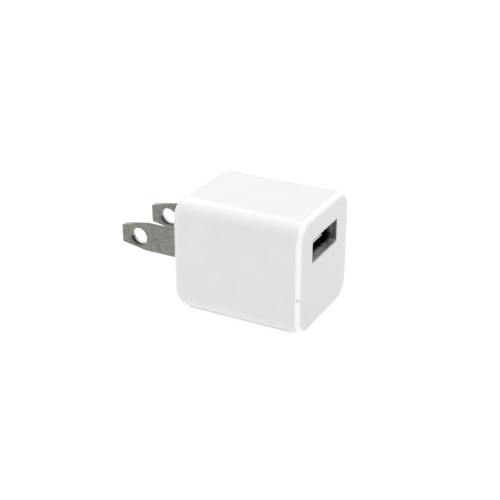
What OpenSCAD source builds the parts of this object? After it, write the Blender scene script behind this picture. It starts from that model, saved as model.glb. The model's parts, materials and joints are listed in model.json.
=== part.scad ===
// Cube-shaped USB wall charger with two fixed flat blades and one USB-A port.
// Origin: centre of the flat underside. +Y points to the wall (the blades), -Y is the port side, +Z is up.

/* [Housing] */
// Width of the housing from side to side
body_w = 25.6; // [25.4:0.2:30]
// Depth of the housing from the port face to the wall face
body_d = 31.4; // [31:0.2:36]
// Height of the housing
body_h = 26.4; // [26.4:0.2:30]
// Radius of the four long edges
edge_r = 4.8; // [4.6:0.2:6]
// Radius of the edge round the port face
rim_r = 0.9; // [0.5:0.1:1]
// Radius of the edge round the wall face
rear_r = 3.5; // [1:0.5:4]
// Thickness of the housing wall
wall = 1.5; // [1.4:0.1:1.6]

/* [Port plate] */
// Width of the housing's rim round the port plate
rim_w = 1.1; // [1:0.05:1.2]
// Thickness of the port plate
plate_t = 1.5; // [1.3:0.1:1.6]
// Width of the port opening
port_w = 12.8; // [12.5:0.1:13]
// Height of the port opening
port_h = 5.5; // [5.2:0.1:5.6]
// Height of the port's centre above the underside
port_z = 18.3; // [18.2:0.1:18.5]

/* [Blades] */
// Distance between the two blades, centre to centre
blade_pitch = 12.7; // [12.6:0.1:12.8]
// Thickness of a blade
blade_t = 1.52; // [1.4:0.02:1.6]
// Width of a blade
blade_w = 6.35; // [6.2:0.05:6.5]
// Length of a blade outside the wall face
blade_out = 16; // [15.5:0.1:18]
// Width of a blade at its tip
blade_tip_w = 4.2; // [3.8:0.1:5]
// Radius of the hole in a blade
blade_hole_r = 2.05; // [1.5:0.05:2.1]
// Distance of the hole from the wall face
blade_hole_y = 11.4; // [11:0.1:12]

/* [USB receptacle] */
// Width inside the metal shell
shell_in_w = 12.5; // [12.4:0.05:12.6]
// Height inside the metal shell
shell_in_h = 5.12; // [5.05:0.01:5.2]
// Thickness of the shell's sheet metal
shell_t = 0.3; // [0.25:0.05:0.35]
// Length of the shell
shell_l = 13.9; // [13.5:0.1:14]
// Distance of the tongue's front edge behind the port face
tongue_in = 3.2; // [3:0.1:3.6]
// Travel of a contact spring's tip
contact_travel_deg = 4; // [2:0.5:4.5]

/* [Hidden] */

$fn = 48;

// Clearance between parts that fit together
fit = 0.05;
// Gap that keeps two parts just clear of each other
touch = 0.02;
// Clearance round a lead in its board hole
hole_gap = 0.12;

y_port = -body_d / 2;
y_wall = body_d / 2;
y_wall_in = y_wall - wall;
inner_w = body_w - 2 * wall;
inner_r = edge_r - wall;

// Port plate
plate_w = body_w - 2 * rim_w - 2 * touch;
plate_h = body_h - 2 * rim_w - 2 * touch;
plate_r = edge_r - rim_w - touch;
plate_lip = 0.1;
skirt_t = 0.7;
skirt_l = 3.2;
skirt_z = 5.6;
skirt_span = 8;
bead = 0.2;
bead_l = 0.5;
bead_y = y_port + plate_t + 2.2;
key_w = 10;
key_l = 2;
gate_z = 9.2;
gate_h = 0.7;
gate_depth = 0.12;
rail_t = 1.1;
sheet_size = [15.6, 25, 0.25];

// USB receptacle
shell_w = shell_in_w + 2 * shell_t;
shell_h = shell_in_h + 2 * shell_t;
shell_y = y_port + plate_lip;
shell_top = port_z + shell_h / 2;
shell_floor = port_z - shell_in_h / 2;
finger_l = 5.2;
finger_w = 1.8;
finger_cut = 0.3;
finger_dip = 0.2;
finger_x = 3.4;
finger_y = shell_y + 6.2;
tongue_w = 11.1;
tongue_t = 1.84;
tongue_z = shell_floor + 0.9;
tongue_nose = 0.5;
tongue_top = tongue_z + tongue_t;
tongue_y = y_port + tongue_in;
block_l = 3.6;
block_gap = 0.03;
block_y = shell_y + shell_l - block_l;
contact_x = [-3.5, -1, 1, 3.5];
contact_w = 1.1;
contact_t = 0.25;
// A contact spring: its root and length, its tip's depth under the tongue's top,
// and its root's height over the groove
spring_root_y = block_y - 0.6;
spring_l = spring_root_y - tongue_y - tongue_nose;
spring_dip = 0.16;
spring_rise = 0.45;
groove_gap = 0.03;
groove_d = spring_dip + contact_t + spring_l * sin(contact_travel_deg) + groove_gap;
tail_y = block_y + 2.4;
tail_w = 0.7;
tail_d = 0.3;
shell_leg_y = [shell_y + 4.4, shell_y + 10.6];
shell_leg_w = 1.6;

// Boards
output_t = 0.8;
output_z = shell_top + touch;
output_top = output_z + output_t;
output_w = 21.6;
output_y0 = y_port + 2.3;
output_y1 = 12.2;
mains_t = 1;
mains_z = 3.8;
mains_top = mains_z + mains_t;
mains_w = 21.6;
mains_y0 = y_port + 2.3;
mains_y1 = 13;
// Height that the leads end at under the mains board, and above the output board
lead_low = 2.75;
lead_over = 0.8;
solder_h = 0.6;

// Transformer
tf_x = -3.1;
tf_y = 3.85;
core_w = 13;
core_h = 12.3;
core_d = 6;
core_leg = 1.9;
core_mid = 3;
core_z = mains_top + 1.9;
window_w = core_w - 2 * core_leg;
window_z0 = core_z + core_leg;
window_z1 = core_z + core_h - core_leg;
tube_w = core_mid + 1;
tube_d = core_d + 1;
bobbin_d = 9.8;
flange_t = 0.6;
rail_w = 1.7;
tape_w = 4.4;
tape_t = 0.15;
pin_x = [-4.5, -1.5, 1.5, 4.5];
pin_r = 0.3;

// Tall parts: [x, y, radius, height]
cap_tall = [7.2, 5.3, 3.3, 12];
cap_short = [7.1, -4.7, 3.3, 9.8];
choke = [-7.4, -5, 2.9, 8];
choke_end = 1.2;
choke_core_r = 1.5;
choke_wound = 0.9;
out_cap_r = 2.15;
out_cap_h = 7;
out_cap_x = 8.95;
out_cap_y = -10.6;
cap_pitch = 2.5;
cap_lead_r = 0.25;

disc_x = -0.45;
disc_y = -4.4;
disc_r = 3.5;
disc_t = 2.8;
disc_pitch = 5;
opto_x = -0.6;
opto_y = -9.6;
opto_pitch = 2.54;
fuse_x = -8.7;
fuse_y = -10.4;
fuse_r = 1.2;
fuse_back = 2.9;
fuse_z = mains_top + 0.8;
fuse_h = 5.4;
to92_x = 6.9;
to92_y = -11.1;
to92_pitch = 1.27;
to92_z = mains_top + 1.4;
to92_h = 4.6;
to92_lead_r = 0.23;
link_x = -10.25;
link_ys = [7.3, 9.3, 11.3];
link_pin_r = 0.3;
// Parts under the mains board
under_h = 1.38;
under_z = mains_z - 1.5;
bridge_at = [4.4, 9.9];
controller_x = -1.2;
// Chip components: width, depth and height, and their places
resistor_size = [2, 1.25, 0.5];
ceramic_size = [2, 1.25, 0.95];
output_resistor_at = [[3, 2.2], [3, 4.2], [3, 6.2], [7.6, 3.2]];
output_ceramic_at = [[6.4, 0.6], [9.2, 0.6], [0.2, 5.2]];
mains_resistor_at = [[-5.6, 2.6], [-5.6, 4.8], [2.6, -11.4], [2.6, -9.4], [2.8, -7.4]];
mains_ceramic_at = [[3.6, 1.4], [-1.6, -11.2]];

// Mains leads from the blades to the mains board
lead_r = 0.6;
lead_core_r = 0.28;
lead_x = 8.5;
lead_y = 11.4;
lead_sides = 10;

// Carrier that holds the blades
carrier_w = 19.4;
carrier_h = 8.8;
carrier_d = 3.6;
carrier_y = y_wall_in - carrier_d;
tab_y = carrier_y - 1.25;
tab_h = 3;
blade_taper_l = 6.2;
blade_nose_r = 0.3;
blade_coin = 0.2;
post_r = 0.8;
post_z = 2.9;

// ---------- shared shapes ----------

// Rounded rectangle in the XY plane, centred on the origin
module round_rect(w, h, r) {
    square([w - 2 * r, h], center = true);
    square([w, h - 2 * r], center = true);
    for (x = [-1, 1], y = [-1, 1])
        translate([x * (w / 2 - r), y * (h / 2 - r)]) circle(r);
}

// Prism along +Y of a rounded rectangle that is centred at height z
module prism_y(w, h, r, y, len, z) {
    translate([0, y + len, z]) rotate([90, 0, 0]) linear_extrude(len) round_rect(w, h, r);
}

// Box given by its centre in X and Y and its lowest Z
module slab(x, y, z, w, d, h) {
    translate([x - w / 2, y - d / 2, z]) cube([w, d, h]);
}

// Vertical rod from height z0 to z1
module rod(x, y, z0, z1, r) {
    translate([x, y, z0]) cylinder(r = r, h = z1 - z0, $fn = 24);
}

// Section through one long edge: r deep, as long as the housing, rounded at both ends
module edge_section(r) {
    difference() {
        translate([0, y_port]) square([r, body_d]);
        translate([r - rim_r, y_port]) square([rim_r, rim_r]);
        translate([r - rear_r, y_wall - rear_r]) square([rear_r, rear_r]);
    }
    intersection() {
        translate([r - rim_r, y_port + rim_r]) circle(rim_r);
        translate([r - rim_r, y_port]) square([rim_r, rim_r]);
    }
    intersection() {
        translate([r - rear_r, y_wall - rear_r]) circle(rear_r);
        translate([r - rear_r, y_wall - rear_r]) square([rear_r, rear_r]);
    }
}

// The housing's outer form, whole: four rounded corners, four side slabs and a core that meet face to face
module housing_form() {
    flat_w = body_w - 2 * edge_r;
    flat_h = body_h - 2 * edge_r;
    translate([0, 0, body_h / 2]) {
        for (k = [0 : 3]) {
            sx = (k == 0 || k == 3) ? 1 : -1;
            sz = (k < 2) ? 1 : -1;
            translate([sx * flat_w / 2, 0, sz * flat_h / 2])
                rotate([0, -90 * k, 0]) rotate([-90, 0, 0]) rotate([0, 0, -90])
                    rotate_extrude(angle = 90) edge_section(edge_r);
        }
        for (side = [0, 180]) rotate([0, side, 0]) {
            translate([flat_w / 2, 0, -flat_h / 2]) linear_extrude(flat_h) edge_section(edge_r);
            translate([-flat_w / 2, 0, flat_h / 2])
                rotate([0, 90, 0]) mirror([1, 0, 0]) linear_extrude(flat_w) edge_section(edge_r);
        }
        translate([-flat_w / 2, y_port, -flat_h / 2]) cube([flat_w, body_d, flat_h]);
    }
}

// Tube along a smooth route, as one polyhedron
function spline(p, i, t) =
    let (n = len(p) - 1, a = p[max(i - 1, 0)], b = p[i], c = p[min(i + 1, n)], d = p[min(i + 2, n)])
    0.5 * (2 * b + (c - a) * t + (2 * a - 5 * b + 4 * c - d) * t * t + (3 * b - a - 3 * c + d) * t * t * t);
function route(p, steps) = [
    for (i = [0 : len(p) - 2], k = [0 : steps - 1]) spline(p, i, k / steps),
    p[len(p) - 1]
];
function unit(v) = v / norm(v);
function ring(p, way, side, r) =
    let (u = unit(side - (side * way) * way), v = cross(way, u))
    [for (k = [0 : lead_sides - 1]) p + r * (cos(360 * k / lead_sides) * u + sin(360 * k / lead_sides) * v)];
module tube(points, steps, r, side) {
    q = route(points, steps);
    n = len(q) - 1;
    rings = [for (i = [0 : n]) ring(q[i], unit(q[min(i + 1, n)] - q[max(i - 1, 0)]), side, r)];
    polyhedron(
        points = [for (a = rings, p = a) p],
        faces = concat(
            [[for (k = [0 : lead_sides - 1]) k]],
            [for (i = [0 : n - 1], k = [0 : lead_sides - 1])
                let (m = (k + 1) % lead_sides)
                [i * lead_sides + k, (i + 1) * lead_sides + k, (i + 1) * lead_sides + m, i * lead_sides + m]],
            [[for (k = [lead_sides - 1 : -1 : 0]) n * lead_sides + k]]
        )
    );
}

// ---------- casing ----------

module housing() {
    color("white") difference() {
        union() {
            difference() {
                housing_form();
                prism_y(inner_w, body_h - 2 * wall, inner_r, y_port - 1, body_d - wall + 1, body_h / 2);
            }
            // board rails on the side walls
            for (s = [-1, 1]) {
                slab(s * (inner_w / 2 - 0.25), -3, mains_z - rail_t, 1.5, 14, rail_t - 2 * touch);
                slab(s * (inner_w / 2 - 0.35), 3, output_z - rail_t, 1.7, 8, rail_t - 2 * touch);
            }
            // posts that the blade carrier is staked on
            for (s = [-1, 1]) translate([0, y_wall_in + 0.2, body_h / 2 + s * post_z]) rotate([90, 0, 0]) {
                cylinder(r = post_r, h = carrier_d + 0.7);
                translate([0, 0, carrier_d + 0.24]) cylinder(r1 = 1.4, r2 = 0.9, h = 0.6);
            }
        }
        // seat of the port plate
        prism_y(body_w - 2 * rim_w, body_h - 2 * rim_w, edge_r - rim_w, y_port - 1, plate_t + 1, body_h / 2);
        // blade slots in the wall face
        for (s = [-1, 1])
            slab(s * blade_pitch / 2, y_wall, (body_h - blade_w) / 2 - 2 * fit,
                blade_t + 3 * fit, 3 * wall, blade_w + 4 * fit);
        // grooves that the port plate's beads snap into
        for (s = [-1, 1])
            slab(s * inner_w / 2, bead_y, skirt_z - bead,
                2 * (bead + fit), bead_l + bead, skirt_span + 2 * bead);
        // trimmed gate mark on the rounded front edge
        translate([-body_w / 2 + rim_r, y_port + rim_r, gate_z]) rotate([0, 0, -135])
            translate([rim_r - gate_depth, -1, 0]) cube([1, 2, gate_h]);
    }
}

module port_plate() {
    color("whitesmoke") difference() {
        union() {
            prism_y(plate_w, plate_h, plate_r, y_port, plate_t, body_h / 2);
            // skirts with snap beads that hold the plate in the housing
            for (s = [-1, 1]) {
                slab(s * (inner_w / 2 - fit - skirt_t / 2), y_port + (plate_t + skirt_l) / 2 + 0.5,
                    skirt_z, skirt_t, plate_t + skirt_l - 1, skirt_span);
                slab(s * (inner_w / 2 - fit), bead_y, skirt_z, 2 * bead, bead_l, skirt_span);
            }
            slab(0, y_port + plate_t + key_l / 2 - 0.2, wall + fit, key_w, key_l, skirt_t);
        }
        slab(0, y_port, port_z - port_h / 2, port_w, 4, port_h);
        slab(0, y_port + plate_lip + plate_t, port_z - shell_h / 2 - fit,
            shell_w + 2 * fit, 2 * plate_t, shell_h + 2 * fit);
    }
}

module blade_carrier() {
    color("gainsboro") difference() {
        slab(0, carrier_y + carrier_d / 2, body_h / 2 - carrier_h / 2, carrier_w, carrier_d, carrier_h);
        for (s = [-1, 1]) {
            slab(s * blade_pitch / 2, carrier_y + carrier_d / 2, (body_h - blade_w) / 2 - touch,
                blade_t + 2 * touch, 2 * carrier_d, blade_w + 2 * touch);
            translate([0, y_wall_in + 1, body_h / 2 + s * post_z]) rotate([90, 0, 0])
                cylinder(r = post_r + fit, h = carrier_d + 2);
        }
    }
}

module insulator_sheet() {
    color("ivory") slab(0, 0.3, wall + fit, sheet_size[0], sheet_size[1], sheet_size[2]);
}

// ---------- blades and their leads ----------

// Outline of a blade in the YZ plane, drawn with Y along the sheet's X
module blade_outline() {
    tip = y_wall + blade_out;
    taper = tip - blade_taper_l;
    nose = tip - blade_nose_r;
    difference() {
        union() {
            translate([carrier_y, -blade_w / 2]) square([taper - carrier_y, blade_w]);
            polygon([
                [taper, -blade_w / 2], [nose, -blade_tip_w / 2], [nose, blade_tip_w / 2], [taper, blade_w / 2]
            ]);
            translate([nose, blade_nose_r - blade_tip_w / 2])
                square([blade_nose_r, blade_tip_w - 2 * blade_nose_r]);
            for (s = [-1, 1]) intersection() {
                translate([nose, s * (blade_tip_w / 2 - blade_nose_r)]) circle(blade_nose_r);
                translate([nose, s * blade_tip_w / 2 - blade_nose_r]) square(2 * blade_nose_r);
            }
            translate([tab_y, -tab_h / 2]) square([carrier_y - tab_y, tab_h]);
        }
        translate([y_wall + blade_hole_y, 0]) circle(blade_hole_r);
    }
}

module blade(s) {
    tip = y_wall + blade_out;
    side = blade_coin * sqrt(2);
    color("silver") translate([s * blade_pitch / 2, 0, body_h / 2]) difference() {
        translate([-blade_t / 2, 0, 0]) rotate([90, 0, 90]) linear_extrude(blade_t) blade_outline();
        // coined edge across the tip
        for (m = [-1, 1]) translate([m * blade_t / 2, tip, 0]) rotate([0, 0, 45])
            cube([side, side, 3 * blade_w], center = true);
    }
}

module blade_line() { blade(-1); }
module blade_neutral() { blade(1); }

// Insulated lead with bare ends, from a blade's tab down through the mains board
module lead(s, tint) {
    z_tab = body_h / 2 + 0.4;
    x_tab = blade_pitch / 2 + blade_t / 2;
    y_tab = tab_y + 0.55;
    color(tint) {
        tube([
            [s * (x_tab + 0.35), y_tab, z_tab], [s * (x_tab + 0.8), y_tab, z_tab - 0.1],
            [s * lead_x, y_tab, z_tab - 1.2], [s * lead_x, y_tab, z_tab - 3.2],
            [s * lead_x, y_tab, 8.6], [s * lead_x, lead_y - 0.4, 6.7], [s * lead_x, lead_y, mains_top + 0.2]
        ], 4, lead_r, [0, 1, 0.01]);
        translate([s * (x_tab + 0.02), y_tab, z_tab]) rotate([0, s * 90, 0])
            cylinder(r = lead_core_r, h = 0.33, $fn = 24);
        rod(s * lead_x, lead_y, lead_low, mains_top + 0.2, lead_core_r);
    }
}

module lead_line() { lead(-1, "black"); }
module lead_neutral() { lead(1, "gainsboro"); }

// ---------- USB receptacle ----------

module usb_shell() {
    color("silver") union() {
        difference() {
            union() {
                slab(0, shell_y + shell_l / 2, port_z - shell_h / 2, shell_w, shell_l, shell_h);
                // legs through the output board
                for (s = [-1, 1], y = shell_leg_y)
                    slab(s * (shell_w - shell_t) / 2, y, shell_top - shell_t, shell_t, shell_leg_w, 2);
            }
            slab(0, shell_y + shell_l / 2 - shell_t, shell_floor, shell_in_w, shell_l, shell_in_h);
            on_shell_sides() finger_window();
            // slot that the contact tails leave through
            slab(0, tail_y, shell_top - 2 * shell_t, 8.6, 1, 4 * shell_t);
        }
        on_shell_sides() finger();
    }
}

// Places its child at each retention finger's root, with +Z out of the shell
module on_shell_sides() {
    for (x = [-finger_x, finger_x], side = [0, 180])
        translate([x, finger_y, port_z]) rotate([0, side, 0]) translate([0, 0, shell_h / 2]) children();
    for (side = [-90, 90])
        translate([0, finger_y, port_z]) rotate([0, side, 0]) translate([0, 0, shell_w / 2]) children();
}

// Window in the shell's sheet, open in front of the finger and beside it
module finger_window() {
    translate([-finger_w / 2 - finger_cut, -finger_l, -2 * shell_t])
        cube([finger_w + 2 * finger_cut, finger_l, 4 * shell_t]);
}

// Retention finger: bent into the shell and out again at its tip
module finger() {
    tip = finger_cut - finger_l;
    bend = 0.62 * tip;
    translate([-finger_w / 2, 0, 0]) rotate([90, 0, 90]) linear_extrude(finger_w) polygon([
        [0, 0], [bend, -finger_dip], [tip, -touch],
        [tip, -touch - shell_t], [bend, -finger_dip - shell_t], [0, -shell_t]
    ]);
}

module usb_tongue() {
    color("whitesmoke") difference() {
        union() {
            slab(0, (tongue_y + block_y + shell_t) / 2, tongue_z,
                tongue_w, block_y + shell_t - tongue_y, tongue_t);
            slab(0, block_y + (block_l - shell_t - block_gap) / 2, shell_floor + block_gap,
                shell_in_w - 2 * block_gap, block_l - shell_t - block_gap, shell_in_h - 2 * block_gap);
        }
        // grooves that the contact springs lie and move in
        for (x = contact_x)
            slab(x, (tongue_y + tongue_nose + block_y) / 2, tongue_top - groove_d,
                contact_w + 6 * fit, block_y - tongue_y - tongue_nose, 2 * groove_d);
        // slots for the fixed part of each contact
        for (x = contact_x) {
            slab(x, (spring_root_y + tail_y) / 2 + 0.3, tongue_top - groove_d, contact_w + 2 * touch,
                tail_y - spring_root_y + 1, contact_t + 2 * touch);
            slab(x, tail_y, tongue_top - groove_d, tail_w + 2 * touch, tail_d + 2 * touch, shell_in_h);
        }
    }
}

// Side view of a contact spring, drawn with Y along the sheet's X
module spring_outline() {
    t = contact_t;
    top = tongue_top;
    low = top - groove_d + spring_rise;
    root = spring_root_y;
    tip = root - spring_l;
    crest = root - 0.66 * spring_l;
    dip = top - spring_dip;
    polygon([
        [root, low - t / 2], [root, low + t / 2], [root - 1.5, low + t / 2],
        [crest + 0.7, top + 0.25], [crest, top + 0.45], [crest - 0.6, top + 0.4],
        [tip + 0.5, dip + 0.04], [tip, dip], [tip, dip - t], [tip + 0.55, dip + 0.03 - t],
        [crest - 0.6, top + 0.38 - t], [crest, top + 0.42 - t], [crest + 0.6, top + 0.25 - t],
        [root - 1.5, low - t / 2]
    ]);
}

module contact_spring(i) {
    color("gold") translate([contact_x[i] - contact_w / 2, 0, 0]) rotate([90, 0, 90])
        linear_extrude(contact_w) spring_outline();
}

module contact_spring_vbus() { contact_spring(0); }
module contact_spring_data_minus() { contact_spring(1); }
module contact_spring_data_plus() { contact_spring(2); }
module contact_spring_ground() { contact_spring(3); }

// Fixed part of each contact: a strip in the tongue and a tail up through the output board
module usb_contact_tails() {
    low = tongue_top - groove_d + touch / 2;
    color("gold") for (x = contact_x) union() {
        slab(x, (spring_root_y + tail_y) / 2 + 0.08, low, contact_w, tail_y - spring_root_y - 0.1, contact_t);
        slab(x, tail_y, low, tail_w, tail_d, output_top + lead_over - low);
    }
}

// ---------- output board ----------

module output_board() {
    color("seagreen") difference() {
        slab(0, (output_y0 + output_y1) / 2, output_z, output_w, output_y1 - output_y0, output_t);
        for (s = [-1, 1], y = shell_leg_y)
            slab(s * (shell_w - shell_t) / 2, y, output_z - 1, 2 * shell_t, shell_leg_w + shell_t, 4);
        for (x = contact_x) rod(x, tail_y, output_z - 1, output_top + 1, tail_w / 2 + hole_gap);
        for (s = [-1, 1], k = [-1, 1])
            rod(s * out_cap_x, out_cap_y + k, output_z - 1, output_top + 1, cap_lead_r + hole_gap);
        for (y = link_ys) rod(link_x, y, output_z - 1, output_top + 1, link_pin_r + hole_gap);
    }
}

module output_diode() {
    color("dimgray") chip_body(-4.5, 3.6, output_top, 4.4, 3.4, 2.1, 1.5);
}

// Moulded chip component with a terminal at each end
module chip_body(x, y, z, w, d, h, tab_w) {
    slab(x, y, z + 0.12, w, d, h - 0.12);
    for (s = [-1, 1]) slab(x + s * (w / 2 + 0.3), y, z, 0.6, tab_w, 0.9);
    for (s = [-1, 1]) slab(x + s * (w / 2 - 0.4), y, z, 0.8, tab_w, 0.12);
}

// Round electrolytic capacitor, standing on z (or hanging from it when way is -1)
module capacitor(x, y, z, r, h, way, z_end, pitch) {
    translate([x, y, z]) mirror([0, 0, way < 0 ? 1 : 0]) {
        rotate_extrude($fn = 64) polygon([
            [0, 0.15], [r * 0.62, 0.15], [r * 0.62, 0], [r - 0.25, 0], [r, 0.25], [r, 1.2],
            [r - 0.22, 1.5], [r - 0.22, 1.75], [r, 2.05], [r, h - 0.3], [r - 0.3, h],
            [r - 0.75, h], [r - 0.85, h - 0.15], [0, h - 0.15]
        ]);
    }
    reach = abs(z_end - z);
    for (s = [-1, 1]) translate([x, y, z]) mirror([0, 0, way < 0 ? 1 : 0])
        translate(pitch * s / 2 - [0, 0, reach]) cylinder(r = cap_lead_r, h = reach + 0.15, $fn = 24);
}

module output_capacitor(s) {
    color("silver") capacitor(s * out_cap_x, out_cap_y, output_z - touch, out_cap_r, out_cap_h, -1,
        output_top + lead_over, [0, 2, 0]);
}
module output_capacitor_left() { output_capacitor(-1); }
module output_capacitor_right() { output_capacitor(1); }

// Row of chip resistors or capacitors that stand on height z
module chips(places, z, size) {
    for (p = places) slab(p[0], p[1], z, size[0], size[1], size[2]);
}
module output_chip_resistors() {
    color("black") chips(output_resistor_at, output_top, resistor_size);
}
module output_chip_capacitors() {
    color("tan") chips(output_ceramic_at, output_top, ceramic_size);
}

// ---------- mains board ----------

// Leads through the mains board: [x, y, radius]
function pair(x, y, dx, dy, r) = [[x - dx, y - dy, r], [x + dx, y + dy, r]];
mains_leads = concat(
    pair(cap_tall[0], cap_tall[1], cap_pitch / 2, 0, cap_lead_r),
    pair(cap_short[0], cap_short[1], cap_pitch / 2, 0, cap_lead_r),
    pair(choke[0], choke[1], cap_pitch / 2, 0, cap_lead_r),
    pair(disc_x, disc_y, disc_pitch / 2, 0, cap_lead_r),
    [[fuse_x, fuse_y, cap_lead_r], [fuse_x + fuse_back, fuse_y, cap_lead_r]],
    [for (k = [-1, 0, 1]) [to92_x + to92_pitch * k, to92_y, to92_lead_r]],
    [for (x = pin_x, s = [-1, 1]) [tf_x + x, tf_y + s * (bobbin_d / 2 - rail_w / 2), pin_r]],
    [for (s = [-1, 1]) [s * lead_x, lead_y, lead_core_r]],
    [for (y = link_ys) [link_x, y, link_pin_r]]
);

module mains_board() {
    color("peru") difference() {
        slab(0, (mains_y0 + mains_y1) / 2, mains_z, mains_w, mains_y1 - mains_y0, mains_t);
        for (p = mains_leads) rod(p[0], p[1], mains_z - 1, mains_top + 1, p[2] + hole_gap);
    }
}

// Solder fillet round each lead under the board, clear of the lead itself
module solder_joints() {
    color("lightgray") for (p = mains_leads) translate([p[0], p[1], mains_z - solder_h]) difference() {
        cylinder(r1 = p[2] + 0.18, r2 = p[2] + 0.55, h = solder_h, $fn = 24);
        translate([0, 0, -1]) cylinder(r = p[2] + touch, h = 3, $fn = 24);
    }
}

module link_header() {
    color("black") difference() {
        slab(link_x, link_ys[1], mains_top, 1.1, 6.1, 2.5);
        for (y = link_ys) rod(link_x, y, mains_z, mains_top + 4, link_pin_r + touch);
    }
}
module link_pins() {
    color("silver") for (y = link_ys) rod(link_x, y, lead_low, output_top + lead_over, link_pin_r);
}

// ---------- transformer ----------

// E-shaped half core: back at the bottom, legs up
module core_half() {
    h = core_h / 2;
    rotate([90, 0, 0]) translate([0, 0, -core_d / 2]) linear_extrude(core_d) {
        translate([-core_w / 2, 0]) square([core_w, core_leg]);
        for (s = [-1, 1]) translate([s * (core_w - core_leg) / 2 - core_leg / 2, 0]) square([core_leg, h]);
        translate([-core_mid / 2, 0]) square([core_mid, h]);
    }
}
module core_half_lower() {
    color("dimgray") translate([tf_x, tf_y, core_z]) core_half();
}
module core_half_upper() {
    color("dimgray") translate([tf_x, tf_y, core_z + core_h]) mirror([0, 0, 1]) core_half();
}

module transformer_bobbin() {
    color("black") difference() {
        union() {
            slab(tf_x, tf_y, window_z0 + fit, tube_w, tube_d, window_z1 - window_z0 - 2 * fit);
            for (z = [window_z0 + fit, window_z1 - fit - flange_t])
                slab(tf_x, tf_y, z, window_w - 2 * fit, bobbin_d, flange_t);
            for (s = [-1, 1])
                slab(tf_x, tf_y + s * (bobbin_d - rail_w) / 2, mains_top, core_w - 1, rail_w,
                    window_z0 + fit + flange_t - mains_top);
        }
        slab(tf_x, tf_y, core_z, core_mid + 2 * fit, core_d + 2 * fit, core_h);
        for (x = pin_x, s = [-1, 1])
            rod(tf_x + x, tf_y + s * (bobbin_d - rail_w) / 2, mains_z, mains_top + 2.5, pin_r + touch);
    }
}

module transformer_winding() {
    gap = fit + touch + flange_t;
    z0 = window_z0 + gap;
    h = window_z1 - window_z0 - 2 * gap;
    color("goldenrod") translate([tf_x, tf_y, z0]) linear_extrude(h) difference() {
        round_rect(window_w - 0.4, bobbin_d - 0.8, 1.2);
        square([tube_w + 2 * touch, tube_d + 2 * touch], center = true);
    }
}

module transformer_tape() {
    w = core_w + 2 * touch;
    h = core_h + 2 * touch;
    color("gold") translate([tf_x, tf_y, core_z - touch]) difference() {
        slab(0, 0, -tape_t, w + 2 * tape_t, tape_w, h + 2 * tape_t);
        slab(0, 0, 0, w, 2 * tape_w, h);
    }
}

module transformer_pins() {
    color("silver") for (x = pin_x, s = [-1, 1])
        rod(tf_x + x, tf_y + s * (bobbin_d - rail_w) / 2, lead_low, mains_top + 2.4, pin_r);
}

// ---------- components on the mains board ----------

module input_capacitor_tall() {
    color("darkslategray") capacitor(cap_tall[0], cap_tall[1], mains_top + fit, cap_tall[2], cap_tall[3],
        1, lead_low, [cap_pitch, 0, 0]);
}
module input_capacitor_short() {
    color("darkslategray") capacitor(cap_short[0], cap_short[1], mains_top + fit, cap_short[2], cap_short[3],
        1, lead_low, [cap_pitch, 0, 0]);
}

// Drum core of the filter choke, with its two leads
module filter_choke_core() {
    color("dimgray") {
        translate([choke[0], choke[1], mains_top + fit]) rotate_extrude($fn = 64) polygon([
            [0, 0], [choke[2], 0], [choke[2], choke_end], [choke_core_r, choke_end],
            [choke_core_r, choke[3] - choke_end], [choke[2], choke[3] - choke_end],
            [choke[2], choke[3]], [0, choke[3]]
        ]);
        for (s = [-1, 1]) rod(choke[0] + s * cap_pitch / 2, choke[1], lead_low, mains_top + fit, cap_lead_r);
    }
}
module filter_choke_coil() {
    wire_r = 0.26;
    core_r = choke_core_r + touch;
    turns = floor((choke[3] - 2 * choke_end - 2 * fit) / (2 * wire_r));
    color("chocolate") translate([choke[0], choke[1], mains_top + choke_end + 2 * fit])
        rotate_extrude($fn = 64) union() {
            translate([core_r, 0]) square([choke_wound, turns * 2 * wire_r]);
            for (k = [0 : turns - 1])
                translate([core_r + choke_wound, wire_r + 2 * wire_r * k]) intersection() {
                    circle(wire_r, $fn = 24);
                    translate([0, -wire_r]) square(2 * wire_r);
                }
        }
}

// Upright resistor with its upper lead looped back down
module fuse_resistor() {
    h = fuse_h;
    top = fuse_z + h + 0.3;
    waist = fuse_r - 0.15;
    loop = fuse_back / 2;
    color("lightblue") {
        translate([fuse_x, fuse_y, fuse_z]) rotate_extrude() polygon([
            [0, 0], [waist, 0], [fuse_r, 0.2], [fuse_r, 1], [waist, 1.3],
            [waist, h - 1.3], [fuse_r, h - 1], [fuse_r, h - 0.2], [waist, h], [0, h]
        ]);
        rod(fuse_x, fuse_y, lead_low, fuse_z, cap_lead_r);
        rod(fuse_x, fuse_y, fuse_z + h, top, cap_lead_r);
        translate([fuse_x + loop, fuse_y, top]) rotate([90, 0, 0])
            rotate_extrude(angle = 180, $fn = 48) translate([loop, 0]) circle(cap_lead_r, $fn = 24);
        rod(fuse_x + fuse_back, fuse_y, lead_low, top, cap_lead_r);
    }
}

module bridge_rectifier() {
    color("black") {
        slab(bridge_at[0], bridge_at[1], under_z, 4.4, 3.6, under_h);
        for (s = [-1, 1], k = [-1, 1])
            slab(bridge_at[0] + k * 1.3, bridge_at[1] + s * 2.05, under_z + 0.6, 0.7, 0.7, 0.9);
    }
}

module controller_chip() {
    color("black") {
        slab(controller_x, tf_y, under_z, 3.9, 4.9, under_h);
        for (s = [-1, 1], k = [-1.5 : 1 : 1.5])
            slab(controller_x + s * 2.3, tf_y + k * 1.27, under_z + 0.55, 0.9, 0.42, 0.95);
    }
}

module switching_transistor() {
    color("black") {
        intersection() {
            rod(to92_x, to92_y, to92_z, to92_z + to92_h, 2.3);
            slab(to92_x, to92_y + 0.6, to92_z, 6, 4, to92_h);
        }
        for (k = [-1, 0, 1]) rod(to92_x + to92_pitch * k, to92_y, lead_low, to92_z, to92_lead_r);
    }
}

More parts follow.
